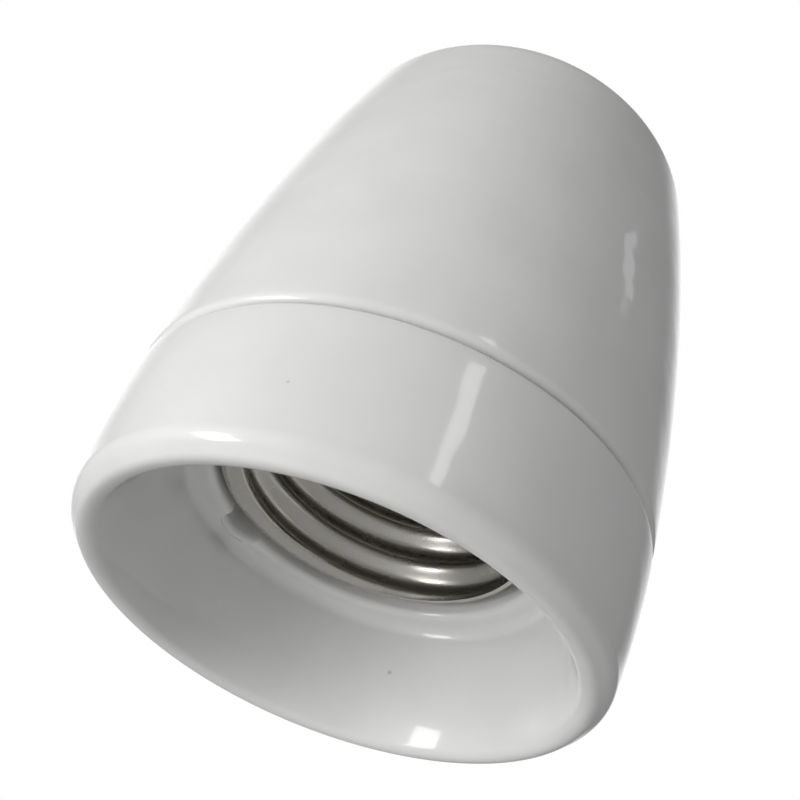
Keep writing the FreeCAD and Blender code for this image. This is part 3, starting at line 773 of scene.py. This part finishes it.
def screw(name, x, y, foot, tip, radius, pitch, head=0.0, seat=0.0):
    """A screw that points up, with a head of that radius from its foot to the seat if it has one."""
    depth = THREAD_DEPTH * pitch
    core = radius - depth

    def section(angle):
        out = [(0.0, foot)]
        if head:
            out += line(out[-1], (head - HEAD_ROUND, foot), 2)
            out += arc(out[-1], (head, foot + HEAD_ROUND), HEAD_ROUND, 1, 5)
            out += line(out[-1], (head, seat - 0.08), 2)
            out += line(out[-1], (head - 0.08, seat), 1)
            out += line(out[-1], (core, seat), 2)
        else:
            out += line(out[-1], (core - 0.2, foot), 2)
        start, lead = (seat, 0.0) if head else (foot, 0.1)
        steps = int((tip - start) / pitch * STEPS_PER_TURN)
        for k in range(steps + 1):
            z = start + (tip - start) * k / steps
            taper = core - 0.1 + 1.1 * min(z - start + lead, tip - z + 0.1)
            out.append((min(radius - depth * flank(angle, z, pitch), taper), z))
        out += line(out[-1], (0.0, tip), 2)
        return out

    return lathe(name, section, [10 * k for k in range(36)], at=(x, y))


def nut(name, x, y, low, high, flats, bore, depth, pitch):
    """A hexagon nut with its corners chamfered on both faces and a thread in its bore."""
    face = 0.475 * flats
    slope = 1.7
    chamfer = (flats / math.sqrt(3) - face) / slope
    shares = (0, 0.15, 0.3, 0.45, 0.6, 0.8, 1.0)

    def section(angle):
        corner = flats / 2 / math.cos((angle % (math.pi / 3)) - math.pi / 6)
        side = [(min(corner, face + slope * d * chamfer), d * chamfer) for d in shares]
        out = [(r, low + up) for r, up in side]
        out += [(r, high - up) for r, up in side[::-1]]
        steps = int((high - low) / pitch * STEPS_PER_TURN)
        for k in range(steps + 1):
            z = high - (high - low) * k / steps
            mouth = max(0.0, depth - 1.2 * min(z - low, high - z))
            out.append((max(bore - depth * flank(angle, z, pitch), bore - depth + mouth), z))
        return out

    return lathe(name, section, [3 * k for k in range(120)], at=(x, y))


# Zinc under a clear passivate: a cool grey metal with faint blue and straw tints in patches of
# about a millimetre, and a fine satin from the plating bath.
zinc, tree = new_material("zinc_plated_steel")
place = add(tree, "TexCoord")
patches = add(
    tree,
    "TexNoise",
    [("Vector", place, "Object")],
    in_Scale=cells(1.11),
    in_Detail=2.0,
    in_Roughness=0.5,
)
satin = add(
    tree,
    "TexNoise",
    [("Vector", place, "Object")],
    in_Scale=cells(1 / 6),
    in_Detail=2.0,
    in_Roughness=0.5,
)
tint = add(tree, "ValToRGB", [("Fac", patches, "Fac")])
for stop, position, code in zip(tint.color_ramp.elements, (0.35, 0.68), ("#aeb5c2", "#c4c1b2")):
    stop.position, stop.color = position, srgb(code)
sheen = add(tree, "MapRange", [("Value", satin, "Fac")], in_To_Min=0.26, in_To_Max=0.44)
frost = add(tree, "Bump", [("Height", satin, "Fac")], in_Strength=0.15, in_Distance=0.01 * MM)
coating = add(
    tree,
    "BsdfPrincipled",
    [("Base Color", tint, "Color"), ("Roughness", sheen, "Result"), ("Normal", frost, "Normal")],
    in_Metallic=1.0,
)
add(tree, "OutputMaterial", [("Surface", coating, "BSDF")])


def fastener(piece, node, body):
    """The zinc finish, the node that the piece stands for and the body that it rides on."""
    piece.data.materials.append(zinc)
    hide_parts(node)
    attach(piece, body)


# the four screws through the insert's floor, and the nuts of the two that hold the shell alone
SHELL_CIRCLE = 10.3
SHELL_SEAT = SHELL_TOP - SHEET
side_x = SHELL_CIRCLE * math.cos(math.radians(120))
side_y = SHELL_CIRCLE * math.sin(math.radians(120))
for name, node, x, y, seat, tip in (
    ("centre_contact_screw_m2.5", "centre_contact_screw", -5.0, 0.0, 31.7, 40.2),
    ("neutral_screw_m2.5", "neutral_screw", SHELL_CIRCLE, 0.0, SHELL_SEAT, 40.2),
    ("shell_screw_left_m2.5", "shell_screws", side_x, side_y, SHELL_SEAT, 37.8),
    ("shell_screw_right_m2.5", "shell_screws", side_x, -side_y, SHELL_SEAT, 37.8),
):
    foot = seat - HEAD_DEPTH
    piece = screw(name, x, y, foot, tip, SMALL_RADIUS, SMALL_PITCH, head=SMALL_HEAD, seat=seat)
    low = (x - 3, y - SLOT_WIDTH / 2, seat - 2)
    high = (x + 3, y + SLOT_WIDTH / 2, seat - HEAD_DEPTH / 2)
    cut(piece, block("slot", low, high))
    fastener(piece, node, "insert_body")
for name, y in (("shell_nut_left_m2.5", side_y), ("shell_nut_right_m2.5", -side_y)):
    piece = nut(name, side_x, y, 35.8, 37.8, flats=5.0, bore=1.29, depth=0.25, pitch=SMALL_PITCH)
    fastener(piece, "shell_nuts", "insert_body")

# headless clamp screws of the two pillars
for name, node, x in (
    ("live_clamp_screw_m3", "live_clamp_screw", -5.2),
    ("neutral_clamp_screw_m3", "neutral_clamp_screw", SHELL_CIRCLE),
):
    piece = screw(name, x, 0.0, foot=42.8, tip=46.4, radius=CLAMP_RADIUS, pitch=CLAMP_PITCH)
    cut(piece, block("slot", (x - 2, -0.25, 45.4), (x + 2, 0.25, 47)))
    fastener(piece, node, "insert_body")

# earth screw in its tag, and the headless grub screw that lies along X in the bush's collar
EARTH_HEAD = 2.75
GRUB_HEIGHT = 61.8
foot, seat, tip = 50.2, 52.2, 53.6
earth_screw = screw(
    "earth_screw_m3", 0.0, 11.6, foot, tip, CLAMP_RADIUS, CLAMP_PITCH, head=EARTH_HEAD, seat=seat
)
cut(earth_screw, block("slot", (-3, 11.25, 49.8), (3, 11.95, 51.2)))
fastener(earth_screw, "earth_screw", "dome_body")
grub_screw = screw("entry_grub_screw_m3", 0.0, 0.0, 4.76, 8.0, CLAMP_RADIUS, CLAMP_PITCH)
cut(grub_screw, block("slot", (-0.25, -2, 7.1), (0.25, 2, 8.5)))
lay_down = Matrix.Rotation(math.pi / 2, 4, "Y")
grub_screw.data.transform(Matrix.Translation((0, 0, GRUB_HEIGHT * MM)) @ lay_down)
fastener(grub_screw, "entry_grub_screw", "dome_body")


# ---- Terminals, bush and its ring parts -------------------------------------------------------
# Free-cutting brass. The pillars are drawn bar, sawn, drilled and tapped. The turned bush, M10x1
# inside, goes down through the crown's hole on a fibre gasket, and a washer, the earth tag and a
# nut hold it from inside.

BUSH_FOOT = 49.5
BUSH_TOP = 64.8
SHANK_RADIUS = 6.5
SHANK_FLAT = 5.85
SHANK_NECK = 6.15
COLLAR_FOOT = 58.8
COLLAR_RADIUS = 8.0
COLLAR_FLAT = 7.0
TUBE_BORE = 4.46
TUBE_THREAD = 0.54
TUBE_STOP = 3.4
TUBE_STOP_TOP = 50.9
BUSH_PITCH = 1.0
SHANK_THREAD_TOP = 58.3
SHANK_STEP = 0.08
BORE_STEP = 0.082

# Turned brass is bright yellow with a fine feed mark each 0.15 mm, and dulls in brown clouds.
turned_brass, tree = new_material("turned_brass")
place = add(tree, "TexCoord")
feed = add(
    tree,
    "TexWave",
    [("Vector", place, "Object")],
    bands_direction="Z",
    in_Scale=feed_marks(0.15),
    in_Distortion=0.8,
    in_Detail=2.0,
)
tarnish = add(
    tree,
    "TexNoise",
    [("Vector", place, "Object")],
    in_Scale=cells(3.85),
    in_Detail=4.0,
    in_Roughness=0.6,
)
tint = add(tree, "ValToRGB", [("Fac", tarnish, "Fac")])
for stop, position, code in zip(tint.color_ramp.elements, (0.34, 0.6), ("#b5924e", "#dcba72")):
    stop.position, stop.color = position, srgb(code)
worn = add(
    tree,
    "MapRange",
    [("Value", tarnish, "Fac")],
    in_From_Min=0.3,
    in_From_Max=0.7,
    in_To_Min=0.4,
    in_To_Max=0.22,
)
marks = add(tree, "Bump", [("Height", feed, "Fac")], in_Strength=0.22, in_Distance=0.01 * MM)
brass = add(
    tree,
    "BsdfPrincipled",
    [("Base Color", tint, "Color"), ("Roughness", worn, "Result"), ("Normal", marks, "Normal")],
    in_Metallic=1.0,
)
add(tree, "OutputMaterial", [("Surface", brass, "BSDF")])
for node in ("live_terminal", "neutral_terminal", "earth_tag"):
    dress(node, turned_brass)
dress("bush_washer", zinc)

# Vulcanised fibre is red-brown and matt, with short fibres of about 0.5 mm pressed flat in it.
fibre, tree = new_material("vulcanised_fibre")
place = add(tree, "TexCoord")
squeeze = add(tree, "Mapping", [("Vector", place, "Object")], in_Scale=(1.0, 2.5, 6.0))
strands = add(
    tree,
    "TexNoise",
    [("Vector", squeeze, "Vector")],
    in_Scale=cells(0.5),
    in_Detail=4.0,
    in_Roughness=0.65,
)
tint = add(tree, "ValToRGB", [("Fac", strands, "Fac")])
for stop, position, code in zip(tint.color_ramp.elements, (0.35, 0.65), ("#6f3628", "#8d4c3a")):
    stop.position, stop.color = position, srgb(code)
felted = add(tree, "Bump", [("Height", strands, "Fac")], in_Strength=0.4, in_Distance=0.04 * MM)
board = add(
    tree,
    "BsdfPrincipled",
    [("Base Color", tint, "Color"), ("Normal", felted, "Normal")],
    in_Roughness=0.68,
    in_IOR=1.5,
)
add(tree, "OutputMaterial", [("Surface", board, "BSDF")])
dress("bush_gasket", fibre)


def flatted(radius, flat, slant):
    """The radius of a round that has a flat, where slant is the sine of the angle to the flat."""
    return flat / slant if slant * radius > flat else radius


def bush_section(angle):
    """Half-section of the bush: threaded shank with its flat, flatted collar, threaded bore."""
    out = [(TUBE_STOP, BUSH_FOOT)]
    out += line(out[-1], (5.7, BUSH_FOOT), 3)
    for k in range(round((SHANK_THREAD_TOP - BUSH_FOOT) / SHANK_STEP) + 1):
        z = BUSH_FOOT + SHANK_STEP * k
        thread = SHANK_RADIUS - 0.58 * flank(angle, z, BUSH_PITCH)
        crest = min(thread, 5.75 + (z - BUSH_FOOT) * 1.2)
        crest += (SHANK_NECK - crest) * blend_step((z - CROWN_HEIGHT) / 0.2)
        if 53.0 < z < CROWN_HEIGHT:
            crest = flatted(crest, SHANK_FLAT, -math.sin(angle))
        out.append((crest, z))
    collar = flatted(COLLAR_RADIUS, COLLAR_FLAT, abs(math.sin(angle)))
    out += line(out[-1], (SHANK_NECK, COLLAR_FOOT), 1)
    out += line(out[-1], (collar - 0.12, COLLAR_FOOT), 2)
    out += line(out[-1], (collar, COLLAR_FOOT + 0.12), 1)
    out += line(out[-1], (collar, BUSH_TOP - 0.6), 6)
    rim = min(COLLAR_RADIUS - 0.6, collar)
    out += arc(out[-1], (rim, BUSH_TOP), 3.0 if collar - rim < 0.4 else 0.7, 1, 5)
    out += line(out[-1], (5.4, BUSH_TOP), 2)
    for k in range(round((BUSH_TOP - 0.08 - TUBE_STOP_TOP) / BORE_STEP)):
        z = BUSH_TOP - 0.08 - BORE_STEP * k
        mouth = max(0.0, 0.75 - (BUSH_TOP - z) * 1.1)
        depth = (1 - flank(angle, z + BUSH_PITCH / 2, BUSH_PITCH)) * blend_step((z - 51.2) / 0.6)
        out.append((max(TUBE_BORE + TUBE_THREAD * depth, TUBE_BORE + 0.04 + mouth), z))
    out += line(out[-1], (TUBE_BORE, TUBE_STOP_TOP), 1)
    out += line(out[-1], (TUBE_STOP, TUBE_STOP_TOP), 2)
    return out


bush = lathe("entry_bush_turned", bush_section, [2.5 * k for k in range(144)])
cut(bush, drill("grub_hole", 7.0, 0.0, GRUB_HEIGHT, radius=1.54, length=6.0, axis="X"))
bush.data.materials.append(turned_brass)
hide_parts("entry_bush")
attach(bush, "dome_body")

bush_nut = nut(
    "bush_nut_m13x1", 0.0, 0.0, 49.7, 52.2, flats=17.0, bore=6.54, depth=0.55, pitch=BUSH_PITCH
)
bush_nut.data.materials.append(turned_brass)
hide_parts("bush_nut")
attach(bush_nut, "dome_body")


# ---- Camera, light and floor ------------------------------------------------------------------
# The holder hangs above a pale floor, seen from below its mouth. A broad soft light stands at the
# left, and light from the floor fills the mouth. The dark side of the room is at the right.

CAMERA_PLACE = Vector((-1.77, -72.06, -32.68)) * MM
CAMERA_RISE = 38.29
CAMERA_ROLL = 23.1

camera = bpy.data.objects.new("camera", bpy.data.cameras.new("camera"))
bpy.context.collection.objects.link(camera)
bpy.context.scene.camera = camera
camera.data.sensor_width = 36.0
camera.data.lens = 44.55
camera.data.clip_start = 0.005
upward = Euler((math.radians(90 + CAMERA_RISE), 0, 0)).to_matrix()
turn = upward @ Matrix.Rotation(math.radians(CAMERA_ROLL), 3, "Z")
camera.matrix_world = Matrix.Translation(CAMERA_PLACE) @ turn.to_4x4()

# lights and floor are placed in metres
HOLDER_MIDDLE = Vector((0.0, 0.0, 0.02))
FLOOR_HEIGHT = -0.36
FLOOR_REACH = 3


def toward(azimuth, elevation):
    """The direction at an azimuth from +X and an elevation, in degrees."""
    a, e = math.radians(azimuth), math.radians(elevation)
    return Vector((math.cos(a) * math.cos(e), math.sin(a) * math.cos(e), math.sin(e)))


def soft_light(name, away, width, height, watts, distance=0.5, mirrored=False):
    """A rectangular light that shines on the holder, seen only in its gloss or in its shading."""
    lamp = bpy.data.lights.new(name, "AREA")
    lamp.shape = "RECTANGLE"
    lamp.size, lamp.size_y, lamp.energy = width, height, watts
    holder = bpy.data.objects.new(name, lamp)
    bpy.context.collection.objects.link(holder)
    holder.location = HOLDER_MIDDLE + away * distance
    holder.rotation_euler = away.to_track_quat("Z", "Y").to_euler()
    holder.visible_glossy = mirrored
    holder.visible_diffuse = not mirrored


soft_light("key_light", toward(-152, -14), width=0.3, height=0.3, watts=1.78)
soft_light("floor_bounce", toward(-158, -52), width=0.16, height=0.16, watts=0.1, distance=0.3)
soft_light("window_side", toward(-76, 25), width=0.055, height=0.22, watts=0.12, mirrored=True)
soft_light("back_light", toward(75, 52), width=0.4, height=0.4, watts=1.6, distance=0.6)
soft_light("window_left", toward(-160, -27), width=0.115, height=0.23, watts=0.55, mirrored=True)
soft_light("window_right", toward(-12, 54), width=0.04, height=0.06, watts=0.006, mirrored=True)

floor_mesh = bpy.data.meshes.new("floor")
corners = [
    (x * FLOOR_REACH, y * FLOOR_REACH, FLOOR_HEIGHT)
    for x, y in ((-1, -1), (1, -1), (1, 1), (-1, 1))
]
floor_mesh.from_pydata(corners, [], [(0, 1, 2, 3)])
floor = bpy.data.objects.new("floor", floor_mesh)
bpy.context.collection.objects.link(floor)

# White paper, which glows a little where it is seen, so that it stays even to the horizon.
paper, tree = new_material("white_paper_floor")
path = add(tree, "LightPath")
matt = add(tree, "BsdfDiffuse", in_Color=srgb("#c4c4c4"))
bright = add(tree, "Emission", in_Color=srgb("#ffffff"), in_Strength=0.72)
seen = add(tree, "MixShader", [("Fac", path, "Is Camera Ray"), (2, bright, "Emission")])
both = add(tree, "AddShader", [(0, matt, "BSDF"), (1, seen, "Shader")])
add(tree, "OutputMaterial", [("Surface", both, "Shader")])
floor_mesh.materials.append(paper)

# The world is white where it is seen, an even grey for shading, and for gloss a room that is dim
# but for its pale far wall behind the holder and a lighter left side.
world = bpy.data.worlds.new("white_studio")
bpy.context.scene.world = world
world.use_nodes = True
tree = world.node_tree
tree.nodes.clear()
path = add(tree, "LightPath")
place = add(tree, "TexCoord")
far_wall = add(tree, "VectorMath", [(0, place, "Generated")], operation="DOT_PRODUCT")
far_wall.inputs[1].default_value = toward(90, 38.3)
left_side = add(tree, "VectorMath", [(0, place, "Generated")], operation="DOT_PRODUCT")
left_side.inputs[1].default_value = toward(170, 20)
wall = add(
    tree,
    "MapRange",
    [("Value", far_wall, "Value")],
    interpolation_type="SMOOTHSTEP",
    in_From_Min=0.72,
    in_From_Max=0.93,
    in_To_Max=0.85,
)
side = add(
    tree,
    "MapRange",
    [("Value", left_side, "Value")],
    interpolation_type="SMOOTHSTEP",
    in_From_Min=-0.2,
    in_From_Max=0.9,
    in_To_Min=0.14,
    in_To_Max=0.36,
)
room = add(tree, "Math", [(0, wall, "Result"), (1, side, "Result")], operation="ADD")
ambient = add(tree, "Background", in_Color=srgb("#ffffff"), in_Strength=0.46)
mirrored = add(tree, "Background", [("Strength", room, "Value")], in_Color=srgb("#ffffff"))
backdrop = add(tree, "Background", in_Color=srgb("#ffffff"), in_Strength=1.0)
gloss = add(
    tree,
    "MixShader",
    [("Fac", path, "Is Glossy Ray"), (1, ambient, "Background"), (2, mirrored, "Background")],
)
mix = add(
    tree,
    "MixShader",
    [("Fac", path, "Is Camera Ray"), (1, gloss, "Shader"), (2, backdrop, "Background")],
)
add(tree, "OutputWorld", [("Surface", mix, "Shader")])

bpy.context.scene.view_settings.view_transform = "Standard"
